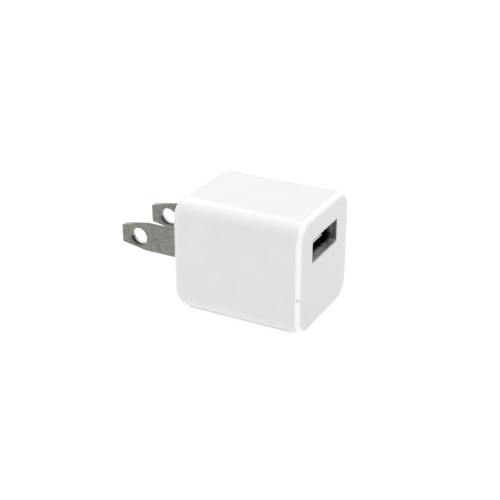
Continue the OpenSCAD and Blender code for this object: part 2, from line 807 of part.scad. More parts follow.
module optocoupler() {
    leg_w = 0.4;
    leg_t = 0.2;
    color("white") {
        slab(opto_x, opto_y, mains_top + 0.1, 4.4, 3.6, 2);
        for (i = [-1, 1], j = [-1, 1]) {
            y = opto_y + j * opto_pitch / 2;
            slab(opto_x + i * 2.4, y, mains_top + 0.95, 0.5, leg_w, leg_t);
            slab(opto_x + i * 2.55, y, mains_top + leg_t, leg_t, leg_w, 0.95);
            slab(opto_x + i * 2.95, y, mains_top, 1, leg_w, leg_t);
        }
    }
}

// Disc capacitor, standing across the board on two leads
module suppression_capacitor() {
    z0 = mains_top + 1.2 + disc_r;
    rim = 0.9;
    color("royalblue") {
        translate([disc_x, disc_y + disc_t / 2, z0]) rotate([90, 0, 0]) rotate_extrude($fn = 64) union() {
            square([disc_r - rim, disc_t]);
            translate([disc_r - rim, rim]) square([rim, disc_t - 2 * rim]);
            for (k = [rim, disc_t - rim]) translate([disc_r - rim, k]) intersection() {
                circle(rim);
                translate([0, -rim]) square([rim, 2 * rim]);
            }
        }
        for (s = [-1, 1]) rod(disc_x + s * disc_pitch / 2, disc_y, lead_low, z0 - 1.6, cap_lead_r);
    }
}

module mains_chip_resistors() {
    color("black") chips(mains_resistor_at, mains_z - touch / 2 - resistor_size[2], resistor_size);
}
module mains_chip_capacitors() {
    color("tan") chips(mains_ceramic_at, mains_z - touch / 2 - ceramic_size[2], ceramic_size);
}

housing();
port_plate();
blade_carrier();
insulator_sheet();
blade_line();
blade_neutral();
lead_line();
lead_neutral();
usb_shell();
usb_tongue();
usb_contact_tails();
contact_spring_vbus();
contact_spring_data_minus();
contact_spring_data_plus();
contact_spring_ground();
output_board();
output_diode();
output_capacitor_left();
output_capacitor_right();
output_chip_resistors();
output_chip_capacitors();
mains_board();
link_header();
link_pins();
core_half_lower();
core_half_upper();
transformer_bobbin();
transformer_winding();
transformer_tape();
transformer_pins();
input_capacitor_tall();
input_capacitor_short();
filter_choke_core();
filter_choke_coil();
fuse_resistor();
bridge_rectifier();
switching_transistor();
controller_chip();
optocoupler();
suppression_capacitor();
mains_chip_resistors();
mains_chip_capacitors();
solder_joints();
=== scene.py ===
"""Finishes and small pieces of a cube-shaped USB wall charger, and the stage it stands on."""

import json
import math

import bmesh
import bpy
from bpy.props import FloatProperty, FloatVectorProperty, PointerProperty
from bpy.types import Operator, Panel, PropertyGroup
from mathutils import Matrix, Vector


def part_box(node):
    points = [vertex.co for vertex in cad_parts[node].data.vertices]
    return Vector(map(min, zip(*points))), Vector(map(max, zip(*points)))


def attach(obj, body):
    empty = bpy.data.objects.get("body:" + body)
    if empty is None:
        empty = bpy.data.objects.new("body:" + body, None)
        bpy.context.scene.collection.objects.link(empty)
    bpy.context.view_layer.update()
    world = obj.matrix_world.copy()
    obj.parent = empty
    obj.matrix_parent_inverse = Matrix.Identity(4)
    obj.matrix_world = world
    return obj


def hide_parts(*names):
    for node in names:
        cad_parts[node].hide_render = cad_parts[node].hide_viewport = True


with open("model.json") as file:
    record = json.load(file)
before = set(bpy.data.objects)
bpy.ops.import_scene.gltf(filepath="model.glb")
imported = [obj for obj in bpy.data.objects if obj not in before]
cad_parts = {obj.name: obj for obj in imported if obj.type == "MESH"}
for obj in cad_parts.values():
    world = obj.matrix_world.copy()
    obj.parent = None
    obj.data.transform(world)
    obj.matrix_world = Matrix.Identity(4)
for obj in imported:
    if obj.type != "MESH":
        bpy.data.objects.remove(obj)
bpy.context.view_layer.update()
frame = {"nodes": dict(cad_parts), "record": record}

bl_info = {
    "name": "USB Wall Charger",
    "version": (1, 0, 0),
    "blender": (4, 5, 0),
    "location": "3D View > Sidebar > Charger",
    "description": "Finishes and small pieces of a USB wall charger, and its stage",
    "category": "Object",
}

MM = 0.001
BODY = "charger"
CONTACTS = ("vbus", "data_minus", "data_plus", "ground")
MIDDLE = Vector((0.0, 0.0, 0.013))
MERGE = 0.002 * MM
SMOOTH_ANGLE = math.radians(40)
GATE_Z = 9.55 * MM
# The floor's painted shadow patch stops this far inside the housing's outline.
UNDERCUT = 3.3 * MM
MOUNTS = {mount["name"]: mount for mount in frame["record"]["mounts"]}


# ---------------------------------------------------------------- settings


def colour(label, rgb, text):
    return FloatVectorProperty(
        name=label, description=text, subtype="COLOR", size=3, min=0.0, max=1.0, default=rgb
    )


def length(label, mm, text):
    return FloatProperty(
        name=label, description=text, unit="LENGTH", min=0.0, precision=5, default=mm * MM
    )


class ChargerColours(PropertyGroup):
    """Colours of the pieces that show."""

    housing: colour("Housing", (0.80, 0.795, 0.78), "Moulded white of the housing")
    plate: colour("Port plate", (0.715, 0.735, 0.722), "Moulded white of the port plate")
    # Painted highlight: near-white colour laid on the rounded rim round the port plate.
    rim: colour("Housing rim", (0.97, 0.97, 0.96), "Polished rim round the port plate")
    nickel: colour("Blades", (0.27, 0.262, 0.235), "Nickel plating of the blades")
    shell: colour("Port metal", (0.25, 0.248, 0.245), "Tin plating of the port's shell")
    tongue: colour("Tongue", (0.96, 0.96, 0.94), "White moulding in the port")
    contacts: colour("Contacts", (0.86, 0.79, 0.60), "Plating of the contact springs")


class ChargerStage(PropertyGroup):
    """Camera, floor and lights."""

    azimuth: FloatProperty(
        name="Azimuth", description="Camera's angle round the charger", subtype="ANGLE",
        default=math.radians(-62.54),
    )
    elevation: FloatProperty(
        name="Elevation", description="Camera's angle above the floor", subtype="ANGLE",
        default=math.radians(25.35),
    )
    distance: length("Distance", 239.28, "From the camera to the point it looks at")
    aim: FloatVectorProperty(
        name="Aim", description="The point that the camera looks at", subtype="TRANSLATION",
        size=3, default=(-1.146 * MM, 1.793 * MM, 12.8 * MM),
    )
    lens: FloatProperty(
        name="Lens", description="Focal length on a 36 mm sensor", subtype="DISTANCE_CAMERA",
        default=77.5,
    )
    floor: colour("Floor", (0.28, 0.28, 0.28), "Colour of the floor")
    floor_glow: FloatProperty(
        name="Floor glow", description="Light that the floor itself gives, as a lit table does",
        min=0.0, default=0.78,
    )
    surround: FloatProperty(
        name="Surround", description="Strength of the even light all round", min=0.0, default=0.69
    )
    overhead_power: FloatProperty(
        name="Overhead", description="Power of the overhead softbox, in watts", min=0.0, default=1.88
    )
    rear_power: FloatProperty(
        name="Rear", description="Power of the softbox high on the wall side, in watts",
        min=0.0, default=2.36,
    )
    front_power: FloatProperty(
        name="Front", description="Power of the softbox on the port side, in watts", min=0.0, default=0.385
    )


# ---------------------------------------------------------------- material tools


class Finish:
    """A material with a Principled shader, and short ways to add and join nodes."""

    def __init__(self, name):
        self.material = bpy.data.materials.new(name)
        self.material.use_nodes = True
        self.tree = self.material.node_tree
        self.bsdf = self.tree.nodes["Principled BSDF"]
        self.place = self.node("ShaderNodeTexCoord").outputs["Object"]

    def node(self, kind, **values):
        made = self.tree.nodes.new(kind)
        for key, value in values.items():
            setattr(made, key, value)
        return made

    def link(self, source, socket):
        self.tree.links.new(source, socket)

    def set(self, **values):
        for key, value in values.items():
            socket = self.bsdf.inputs[key.replace("_", " ")]
            if isinstance(value, bpy.types.NodeSocket):
                self.link(value, socket)
            elif socket.type == "RGBA":
                socket.default_value = (*value, 1.0)
            else:
                socket.default_value = value
        return self

    def effect(self, tree, **values):
        """Places a shared effect; numbers go on its sockets and sockets are linked."""
        made = self.node("ShaderNodeGroup", node_tree=tree)
        for key, value in values.items():
            socket = made.inputs[key]
            if isinstance(value, bpy.types.NodeSocket):
                self.link(value, socket)
            elif socket.type == "RGBA":
                socket.default_value = (*value, 1.0)
            else:
                socket.default_value = value
        if "Place" in made.inputs and "Place" not in values:
            self.link(self.place, made.inputs["Place"])
        return made.outputs

    def blend(self, mask, a, b):
        """Colour a where the mask is 0 and colour b where it is 1."""
        made = self.node("ShaderNodeMix", data_type="RGBA")
        self.link(mask, made.inputs["Factor"])
        for value, socket in ((a, made.inputs[6]), (b, made.inputs[7])):
            if isinstance(value, bpy.types.NodeSocket):
                self.link(value, socket)
            else:
                socket.default_value = (*value, 1.0)
        return made.outputs[2]

    def between(self, mask, low, high):
        """A value that goes from low to high as the mask goes from 0 to 1."""
        made = self.node("ShaderNodeMapRange")
        self.link(mask, made.inputs["Value"])
        made.inputs["To Min"].default_value = low
        made.inputs["To Max"].default_value = high
        return made.outputs["Result"]

    def span(self, value, low, high):
        """0 where the value is low and 1 where it is high, with a smooth step between."""
        made = self.node("ShaderNodeMapRange", interpolation_type="SMOOTHSTEP")
        self.link(value, made.inputs["Value"])
        made.inputs["From Min"].default_value = low
        made.inputs["From Max"].default_value = high
        return made.outputs["Result"]

    def relief(self, height, depth_mm):
        made = self.node("ShaderNodeBump")
        made.inputs["Distance"].default_value = depth_mm * MM
        made.inputs["Strength"].default_value = 1.0
        self.link(height, made.inputs["Height"])
        self.link(made.outputs["Normal"], self.bsdf.inputs["Normal"])
        return self


class Effect:
    """A shader node group that is being built."""

    def __init__(self, name, inputs, outputs):
        self.tree = bpy.data.node_groups.new(name, "ShaderNodeTree")
        for label, kind, default in inputs:
            socket = self.tree.interface.new_socket(label, in_out="INPUT", socket_type=kind)
            if default is not None:
                socket.default_value = default
        for label, kind in outputs:
            self.tree.interface.new_socket(label, in_out="OUTPUT", socket_type=kind)
        self.ins = self.tree.nodes.new("NodeGroupInput").outputs
        self.outs = self.tree.nodes.new("NodeGroupOutput").inputs

    def put(self, node, values):
        for key, value in values.items():
            socket = node.inputs[key]
            if isinstance(value, bpy.types.NodeSocket):
                self.tree.links.new(value, socket)
            else:
                socket.default_value = value
        return node

    def noise(self, place, scale, detail=2.0, **values):
        made = self.tree.nodes.new("ShaderNodeTexNoise")
        self.put(made, {"Vector": place, "Scale": scale, "Detail": detail, **values})
        return made.outputs["Fac"]

    def maths(self, operation, a, b=0.0, c=0.0, clamp=False):
        made = self.tree.nodes.new("ShaderNodeMath")
        made.operation = operation
        made.use_clamp = clamp
        return self.put(made, {0: a, 1: b, 2: c}).outputs[0]

    def vector(self, operation, a, b=(0.0, 0.0, 0.0)):
        made = self.tree.nodes.new("ShaderNodeVectorMath")
        made.operation = operation
        self.put(made, {0: a, 1: b})
        return made.outputs["Value" if operation in ("LENGTH", "DOT_PRODUCT") else "Vector"]

    def ramp(self, value, low, high, to_low=0.0, to_high=1.0):
        made = self.tree.nodes.new("ShaderNodeMapRange")
        made.interpolation_type = "SMOOTHSTEP"
        ends = {"From Min": low, "From Max": high, "To Min": to_low, "To Max": to_high}
        self.put(made, {"Value": value, **ends})
        return made.outputs["Result"]

    def give(self, **values):
        for key, value in values.items():
            self.tree.links.new(value, self.outs[key])
        return self.tree


VECTOR, FLOAT = "NodeSocketVector", "NodeSocketFloat"


def moulded_skin():
    """Faint clouding and a very fine grain, as on moulded plastic."""
    e = Effect(
        "Moulded skin",
        [("Place", VECTOR, None), ("Cloud scale", FLOAT, 180.0), ("Grain scale", FLOAT, 5200.0)],
        [("Cloud", FLOAT), ("Grain", FLOAT)],
    )
    cloud = e.noise(e.ins["Place"], e.ins["Cloud scale"], 3.0, Roughness=0.55)
    grain = e.noise(e.ins["Place"], e.ins["Grain scale"], 4.0, Roughness=0.6)
    return e.give(Cloud=e.ramp(cloud, 0.3, 0.7), Grain=grain)


def metal_grain():
    """Cloudy tarnish, fine rolling lines along one axis and small pits."""
    e = Effect(
        "Metal grain",
        [("Place", VECTOR, None), ("Stretch", VECTOR, (1.0, 0.12, 1.0)), ("Line scale", FLOAT, 9000.0),
         ("Cloud scale", FLOAT, 900.0)],
        [("Lines", FLOAT), ("Cloud", FLOAT), ("Pits", FLOAT)],
    )
    along = e.vector("MULTIPLY", e.ins["Place"], e.ins["Stretch"])
    lines = e.noise(along, e.ins["Line scale"], 4.0, Roughness=0.65)
    cloud = e.noise(e.ins["Place"], e.ins["Cloud scale"], 5.0, Roughness=0.7)
    pits = e.noise(e.ins["Place"], 5200.0, 2.0)
    return e.give(
        Lines=e.ramp(lines, 0.25, 0.75), Cloud=e.ramp(cloud, 0.32, 0.68), Pits=e.ramp(pits, 0.58, 0.72)
    )


def box_zone():
    """1 inside a box given by its centre and half size, with a soft edge."""
    e = Effect(
        "Box zone",
        [("Place", VECTOR, None), ("Centre", VECTOR, (0.0, 0.0, 0.0)), ("Half size", VECTOR, (1.0, 1.0, 1.0)),
         ("Edge", FLOAT, 0.00004)],
        [("Inside", FLOAT)],
    )
    off = e.vector("ABSOLUTE", e.vector("SUBTRACT", e.ins["Place"], e.ins["Centre"]))
    past = e.vector("SUBTRACT", off, e.ins["Half size"])
    parts = e.tree.nodes.new("ShaderNodeSeparateXYZ")
    e.tree.links.new(past, parts.inputs[0])
    most = e.maths("MAXIMUM", parts.outputs[0], e.maths("MAXIMUM", parts.outputs[1], parts.outputs[2]))
    return e.give(Inside=e.maths("SUBTRACT", 0.5, e.maths("DIVIDE", most, e.ins["Edge"]), clamp=True))


def board_weave():
    """Crossed threads of a laminate."""
    e = Effect(
        "Board weave",
        [("Place", VECTOR, None), ("Thread", FLOAT, 2200.0)],
        [("Weave", FLOAT), ("Cloud", FLOAT)],
    )
    parts = e.tree.nodes.new("ShaderNodeSeparateXYZ")
    e.tree.links.new(e.ins["Place"], parts.inputs[0])
    turns = e.maths("MULTIPLY", e.ins["Thread"], math.tau)
    across = e.maths("SINE", e.maths("MULTIPLY", parts.outputs[0], turns))
    along = e.maths("SINE", e.maths("MULTIPLY", parts.outputs[1], turns))
    weave = e.maths("MULTIPLY_ADD", e.maths("MULTIPLY", across, along), 0.5, 0.5)
    cloud = e.noise(e.ins["Place"], 600.0, 3.0)
    return e.give(Weave=weave, Cloud=e.ramp(cloud, 0.3, 0.7))


EFFECTS = {}


def effects():
    if not EFFECTS:
        EFFECTS.update(skin=moulded_skin(), metal=metal_grain(), zone=box_zone(), weave=board_weave())
    return EFFECTS


def tone(rgb, factor):
    return tuple(min(1.0, max(0.0, c * factor)) for c in rgb)


# ---------------------------------------------------------------- materials


def moulded(name, rgb, rough=0.35, cloud=0.03, grain_mm=0.004, coat=0.0):
    """Moulded plastic: faint clouding in the colour and the gloss, and a fine skin."""
    f = Finish(name)
    skin = f.effect(effects()["skin"])
    f.set(
        Base_Color=f.blend(skin["Cloud"], tone(rgb, 1 - cloud), tone(rgb, 1 + cloud)),
        Roughness=f.between(skin["Cloud"], rough - 0.03, rough + 0.03),
        IOR=1.5, Coat_Weight=coat,
    )
    return f.relief(skin["Grain"], grain_mm).material


def housing_white(body_rgb, rim_highlight_rgb, plate_rgb, front, rim_deep):
    """The housing's moulded white, with a painted highlight on the rim round the port plate and the gate's
    scar on it.
    """
    f = Finish("Housing white")
    skin = f.effect(effects()["skin"])
    parts = f.node("ShaderNodeSeparateXYZ")
    f.link(f.place, parts.inputs[0])
    # Painted highlight: the rounded rim gets the near-white rim colour, and the housing's front face gets a
    # plate tone made 1.16 times brighter.
    rim = f.span(parts.outputs["Y"], front + 1.2 * rim_deep, front + 0.8 * rim_deep)
    face = f.span(parts.outputs["Y"], front + 0.12 * rim_deep, front)
    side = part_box("housing")[0].x
    gate = (side + 0.1 * MM, front + 0.3 * MM, GATE_Z)
    gate_half = (0.45 * MM, 0.35 * MM, 0.3 * MM)
    scar = f.effect(effects()["zone"], Edge=0.25 * MM, **{"Centre": gate, "Half size": gate_half})
    body = f.blend(skin["Cloud"], tone(body_rgb, 0.988), tone(body_rgb, 1.012))
    rim_highlit = f.blend(face, f.blend(rim, body, rim_highlight_rgb), tone(plate_rgb, 1.16))
    f.set(
        Base_Color=f.blend(scar["Inside"], rim_highlit, tone(body_rgb, 0.85)),
        Roughness=f.between(rim, 0.32, 0.18),
        IOR=1.5,
    )
    return f.relief(skin["Grain"], 0.0015).material


def plated(name, rgb, rough=0.4, dark=0.82, stretch=(1.0, 0.12, 1.0), relief_mm=0.004):
    """Plated or rolled metal: cloudy tone, rolling lines and small pits."""
    f = Finish(name)
    grain = f.effect(effects()["metal"], Stretch=stretch)
    shade = f.blend(grain["Cloud"], tone(rgb, dark), tone(rgb, 1.06))
    f.set(
        Base_Color=f.blend(grain["Pits"], shade, tone(rgb, dark * 0.9)),
        Metallic=1.0,
        Roughness=f.between(grain["Lines"], rough - 0.08, rough + 0.1),
    )
    return f.relief(grain["Lines"], relief_mm).material


def blade_nickel(name, rgb, hole, tip):
    """Blade plating: mottled faces, sheared edges with a darker band along the faces and a painted glint near
    the tip, and a dark fracture zone low in the punched hole with painted shade on it.
    """
    x, y, z = hole["pos_m"]
    wall = hole["dims"]["length_mm"] * MM
    reach = hole["dims"]["r_mm"] * MM * 1.04
    f = Finish(name)
    fine = f.effect(effects()["metal"], **{"Stretch": (1.0, 0.4, 1.0), "Cloud scale": 3200.0})
    broad = f.effect(effects()["metal"], **{"Stretch": (1.0, 0.6, 1.0), "Cloud scale": 900.0})
    mottle = f.node("ShaderNodeMix", data_type="RGBA")
    mottle.inputs["Factor"].default_value = 0.45
    f.link(f.blend(fine["Cloud"], tone(rgb, 0.55), tone(rgb, 1.28)), mottle.inputs[6])
    f.link(f.blend(broad["Cloud"], tone(rgb, 0.62), tone(rgb, 1.22)), mottle.inputs[7])
    face = f.blend(fine["Pits"], mottle.outputs[2], tone(rgb, 0.6))
    # A darker band, at half the plating's tone, where the sheared edges meet the faces.
    dark_edge_band = f.effect(
        effects()["zone"], Edge=0.06 * MM, **{"Centre": (x, y, z), "Half size": (0.48 * wall, 1.0, 1.0)}
    )
    sheared = f.effect(
        effects()["zone"], Edge=0.06 * MM, **{"Centre": (x, y, z), "Half size": (0.4 * wall, 1.0, 1.0)}
    )
    # Painted glint: near the tip the sheared edges get a colour 1.9 times brighter than the plating.
    glint = f.effect(
        effects()["zone"], Edge=2.4 * MM,
        **{"Centre": (x, tip, z + 3.5 * MM), "Half size": (0.4 * wall + 1.2 * MM, 2.0 * MM, 2.5 * MM)},
    )
    cut_half = (0.25 * wall, reach, reach)
    cut = f.effect(effects()["zone"], **{"Centre": (x + 0.3 * wall, y, z), "Half size": cut_half})
    # The punched wall's fracture zone, kept to the low part of the hole and made near black: a real rough
    # zone with painted shade laid on it.
    torn_and_shaded_centre = (x - 0.2 * wall, y + 0.3 * reach, z - 0.62 * reach)
    torn_and_shaded_half = (0.27 * wall, 0.9 * reach, 0.42 * reach)
    torn_and_shaded = f.effect(effects()["zone"], Edge=0.2 * MM, **{"Centre": torn_and_shaded_centre, "Half size": torn_and_shaded_half})
    with_painted_light = f.blend(glint["Inside"], f.blend(fine["Cloud"], tone(rgb, 0.6), tone(rgb, 0.95)), tone(rgb, 1.9))
    edged = f.blend(sheared["Inside"], f.blend(dark_edge_band["Inside"], face, tone(rgb, 0.5)), with_painted_light)
    bright = f.blend(cut["Inside"], edged, (0.72, 0.71, 0.69))
    f.set(
        Base_Color=f.blend(torn_and_shaded["Inside"], bright, tone(rgb, 0.03)),
        Metallic=f.between(torn_and_shaded["Inside"], 1.0, 0.3),
        Roughness=f.between(fine["Lines"], 0.34, 0.52),
    )
    return f.relief(fine["Cloud"], 0.008).material


def shell_tin(rgb, mouth, floor):
    """The shell's plating, with painted light on its floor near the mouth and painted shade further in."""
    f = Finish("Port tin")
    grain = f.effect(effects()["metal"], Stretch=(0.25, 1.0, 1.0))
    plain = f.blend(grain["Cloud"], tone(rgb, 0.82), tone(rgb, 1.1))
    parts = f.node("ShaderNodeSeparateXYZ")
    f.link(f.place, parts.inputs[0])
    # Painted shade: further in than 1.2 to 2.4 mm from the mouth the plating is made near black.
    painted_shade_deep = f.span(parts.outputs["Y"], mouth + 1.2 * MM, mouth + 2.4 * MM)
    # Painted light: the floor near the mouth is made 2.9 times brighter than the plating.
    painted_light_lip = f.effect(
        effects()["zone"], Edge=0.5 * MM,
        **{"Centre": (0.0, mouth, floor), "Half size": (6.4 * MM, 2.2 * MM, 0.25 * MM)},
    )
    with_painted_light = f.blend(painted_light_lip["Inside"], plain, tone(rgb, 2.9))
    f.set(
        Base_Color=f.blend(painted_shade_deep, with_painted_light, tone(rgb, 0.02)),
        Metallic=1.0,
        Roughness=f.between(grain["Lines"], 0.44, 0.58),
    )
    return f.relief(grain["Lines"], 0.004).material


def laminate(name, mask_rgb, copper_rgb, rough):
    """Circuit board: woven body, with tracks that show through the coating."""
    f = Finish(name)
    weave = f.effect(effects()["weave"])
    tracks = f.node("ShaderNodeTexBrick", offset=0.37, offset_frequency=3)
    f.link(f.place, tracks.inputs["Vector"])
    tracks.inputs["Scale"].default_value = 260.0
    tracks.inputs["Mortar Size"].default_value = 0.035
    tracks.inputs["Mortar Smooth"].default_value = 0.2
    body = f.blend(weave["Cloud"], tone(mask_rgb, 0.85), tone(mask_rgb, 1.1))
    f.set(
        Base_Color=f.blend(tracks.outputs["Fac"], body, copper_rgb),
        Roughness=f.between(weave["Cloud"], rough, rough + 0.12),
    )
    return f.relief(weave["Weave"], 0.01).material


def banded(name, rgb, low, high, bands):
    """Lacquer with painted bands across Z; a band is its share of the height, its width and its colour."""
    f = Finish(name)
    skin = f.effect(effects()["skin"])
    parts = f.node("ShaderNodeSeparateXYZ")
    f.link(f.place, parts.inputs[0])
    share = f.node("ShaderNodeMapRange")
    f.link(parts.outputs["Z"], share.inputs["Value"])
    share.inputs["From Min"].default_value = low
    share.inputs["From Max"].default_value = high
    ramp = f.node("ShaderNodeValToRGB")
    ramp.color_ramp.interpolation = "CONSTANT"
    ramp.color_ramp.elements[0].color = (*rgb, 1.0)
    ramp.color_ramp.elements[1].position = 1.0
    ramp.color_ramp.elements[1].color = (*rgb, 1.0)
    for at, width, band in bands:
        ramp.color_ramp.elements.new(at).color = (*band, 1.0)
        ramp.color_ramp.elements.new(at + width).color = (*rgb, 1.0)
    f.link(share.outputs["Result"], ramp.inputs["Fac"])
    f.set(Base_Color=ramp.outputs["Color"], Roughness=f.between(skin["Cloud"], 0.22, 0.34), Coat_Weight=0.3)
    return f.relief(skin["Grain"], 0.008).material


def wound(name, rgb, pitch, rough=0.28):
    """Enamelled wire laid in turns: each turn across Z is a rounded ridge, with painted shade darkening the
    grooves between turns.
    """
    f = Finish(name)
    skin = f.effect(effects()["skin"])
    parts = f.node("ShaderNodeSeparateXYZ")
    f.link(f.place, parts.inputs[0])
    turn = f.node("ShaderNodeMath", operation="MULTIPLY")
    f.link(parts.outputs["Z"], turn.inputs[0])
    turn.inputs[1].default_value = math.pi / pitch
    ridge = f.node("ShaderNodeMath", operation="SINE")
    f.link(turn.outputs[0], ridge.inputs[0])
    height = f.node("ShaderNodeMath", operation="ABSOLUTE")
    f.link(ridge.outputs[0], height.inputs[0])
    turns_with_painted_shade = f.blend(height.outputs[0], tone(rgb, 0.25), rgb)
    f.set(
        Base_Color=turns_with_painted_shade,
        Metallic=f.between(skin["Cloud"], 0.75, 0.9),
        Roughness=f.between(skin["Cloud"], rough, rough + 0.1),
    )
    return f.relief(height.outputs[0], 0.08).material


# ---------------------------------------------------------------- mesh tools


def merged(*nodes):
    """A bmesh of CAD nodes, with their doubles merged and their flat faces whole."""
    bm = bmesh.new()
    for node in nodes:
        bm.from_mesh(frame["nodes"][node].data)
    bmesh.ops.remove_doubles(bm, verts=bm.verts, dist=MERGE)
    bmesh.ops.dissolve_limit(
        bm, angle_limit=math.radians(0.5), use_dissolve_boundaries=False, verts=bm.verts, edges=bm.edges
    )
    return bm


def soften(bm, width_mm, segments=2, low=30.0, high=181.0):
    """Rounds the edges whose faces turn by an angle between low and high degrees."""
    edges = []
    for edge in bm.edges:
        turn = math.degrees(edge.calc_face_angle(0.0))
        if low < turn < high:
            edges.append(edge)
    bmesh.ops.bevel(
        bm, geom=edges, offset=width_mm * MM, offset_type="OFFSET", segments=segments, profile=0.5,
        affect="EDGES", clamp_overlap=True, material=-1,
    )
    return bm


def islands(bm):
    """The separate solids of a bmesh, each as a list of faces."""
    left = set(bm.faces)
    found = []
    while left:
        solid = grown([left.pop()])
        left.difference_update(solid)
        found.append(solid)
    return found


def grown(faces):
    """The whole solid that some of its faces belong to."""
    queue = [face for face in faces if face.is_valid]
    solid = set(queue)
    while queue:
        face = queue.pop()
        for edge in face.edges:
            for other in edge.link_faces:
                if other not in solid:
                    solid.add(other)
                    queue.append(other)
    return list(solid)


def piece(name, bm, *materials, replaces, body=BODY):
    """Turns a bmesh into a piece that rides on a body and stands for CAD nodes."""
    mesh = bpy.data.meshes.new(name)
    bm.to_mesh(mesh)
    bm.free()
    mesh.shade_smooth()
    mesh.set_sharp_from_angle(angle=SMOOTH_ANGLE)
    made = bpy.data.objects.new(name, mesh)
    bpy.context.scene.collection.objects.link(made)
    for material in materials:
        mesh.materials.append(material)
    made.modifiers.new("Even shading", "WEIGHTED_NORMAL").keep_sharp = True
    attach(made, body)
    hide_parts(*replaces)
    return made


def softened(node, name, width_mm, *materials, segments=2):
    """A CAD node's shape with its sharp edges rounded, as the real piece's are."""
    bm = soften(merged(node), width_mm, segments)
    return piece(name.replace(" ", "_"), bm, *materials, replaces=(node,))


def dress(material, *nodes):
    """Gives CAD nodes their finish."""
    for node in nodes:
        for holder in frame["nodes"][node].material_slots:
            holder.material = material


# ---------------------------------------------------------------- operators


class CHARGER_OT_casing(Operator):
    """Finish the housing, the port plate and what they hold"""

    bl_idname = "charger.casing"
    bl_label = "Casing"

    def execute(self, context):
        c = context.scene.charger_colours
        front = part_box("housing")[0].y
        dress(housing_white(c.housing, c.rim, c.plate, front, 0.9 * MM), "housing")
        plate = moulded("Plate white", c.plate, 0.36, 0.012, 0.0015)
        softened("port_plate", "Port plate", 0.12, plate, segments=3)
        carrier = moulded("Carrier plastic", (0.62, 0.60, 0.56), 0.5, 0.05, 0.006)
        softened("blade_carrier", "Blade carrier", 0.2, carrier)
        dress(moulded("Insulator film", (0.72, 0.62, 0.40), 0.3, 0.05, 0.002), "insulator_sheet")
        return {"FINISHED"}


class CHARGER_OT_blades(Operator):
    """Build the blades with rounded edges and finish their leads"""

    bl_idname = "charger.blades"
    bl_label = "Blades"

    def execute(self, context):
        c = context.scene.charger_colours
        for way in ("line", "neutral"):
            node = f"blade_{way}"
            metal = blade_nickel(f"Blade nickel {way}", c.nickel, MOUNTS[f"{node}_hole"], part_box(node)[1].y)
            softened(node, f"Blade {way}", 0.1, metal, segments=3)
        dress(moulded("Lead black", (0.02, 0.02, 0.02), 0.4, 0.1, 0.004), "lead_line")
        dress(moulded("Lead white", (0.70, 0.70, 0.68), 0.4, 0.04, 0.004), "lead_neutral")
        return {"FINISHED"}


class CHARGER_OT_receptacle(Operator):
    """Build the port's shell, tongue and contact springs"""

    bl_idname = "charger.receptacle"
    bl_label = "Receptacle"

    def execute(self, context):
        c = context.scene.charger_colours
        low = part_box("usb_tongue")[0]
        tin = shell_tin(c.shell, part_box("usb_shell")[0].y, low.z)
        softened("usb_shell", "Port sleeve", 0.06, tin, segments=3)
        white = moulded("Tongue white", c.tongue, 0.42, 0.03, 0.004)
        softened("usb_tongue", "Port tongue", 0.07, white, segments=3)
        contact = plated("Contact plating", c.contacts, 0.22, 0.92)
        softened("usb_contact_tails", "Contact tails", 0.03, contact)
        for name in CONTACTS:
            self.spring(name, contact)
        return {"FINISHED"}

    def spring(self, name, contact):
        """A leaf with smooth bends in place of the folds, and with its cut edges rounded."""
        node = f"contact_spring_{name}"
        bm = merged(node)
        soften(bm, 0.22, segments=5, low=3.0, high=60.0)
        soften(bm, 0.035, low=60.0)
        piece(f"Contact_spring_{name}", bm, contact, body=node, replaces=(node,))


class CHARGER_OT_boards(Operator):
    """Finish the two boards and the pins and solder that join them"""

    bl_idname = "charger.boards"
    bl_label = "Boards"

    def execute(self, context):
        dress(laminate("Board green", (0.015, 0.13, 0.05), (0.05, 0.24, 0.09), 0.3), "output_board")
        dress(laminate("Board brown", (0.34, 0.19, 0.075), (0.42, 0.25, 0.11), 0.5), "mains_board")
        header = moulded("Header black", (0.02, 0.02, 0.02), 0.5, 0.1, 0.006)
        softened("link_header", "Link header", 0.08, header)
        tinned = plated("Tinned wire", (0.70, 0.70, 0.68), 0.3, 0.88, (1.0, 1.0, 0.12))
        dress(tinned, "link_pins", "transformer_pins")
        dress(plated("Solder", (0.66, 0.67, 0.68), 0.25, 0.8, (1.0, 1.0, 1.0)), "solder_joints")
        return {"FINISHED"}


class CHARGER_OT_transformer(Operator):
    """Build the transformer and the filter choke"""

    bl_idname = "charger.transformer"
    bl_label = "Transformer"

    def execute(self, context):
        ferrite = moulded("Ferrite", (0.055, 0.055, 0.06), 0.55, 0.25, 0.02)
        softened("core_half_lower", "Core half lower", 0.12, ferrite)
        softened("core_half_upper", "Core half upper", 0.12, ferrite)
        dress(ferrite, "filter_choke_core")
        bobbin = moulded("Bobbin black", (0.02, 0.02, 0.02), 0.5, 0.1, 0.006)
        softened("transformer_bobbin", "Bobbin", 0.06, bobbin)
        tape = moulded("Tape yellow", (0.75, 0.48, 0.03), 0.3, 0.05, 0.004, coat=0.3)
        softened("transformer_tape", "Transformer tape", 0.04, tape)
        dress(wound("Winding copper", (0.45, 0.16, 0.05), 0.3 * MM), "transformer_winding")
        dress(moulded("Choke enamel", (0.40, 0.13, 0.04), 0.28, 0.1, 0.006, coat=0.4), "filter_choke_coil")
        return {"FINISHED"}


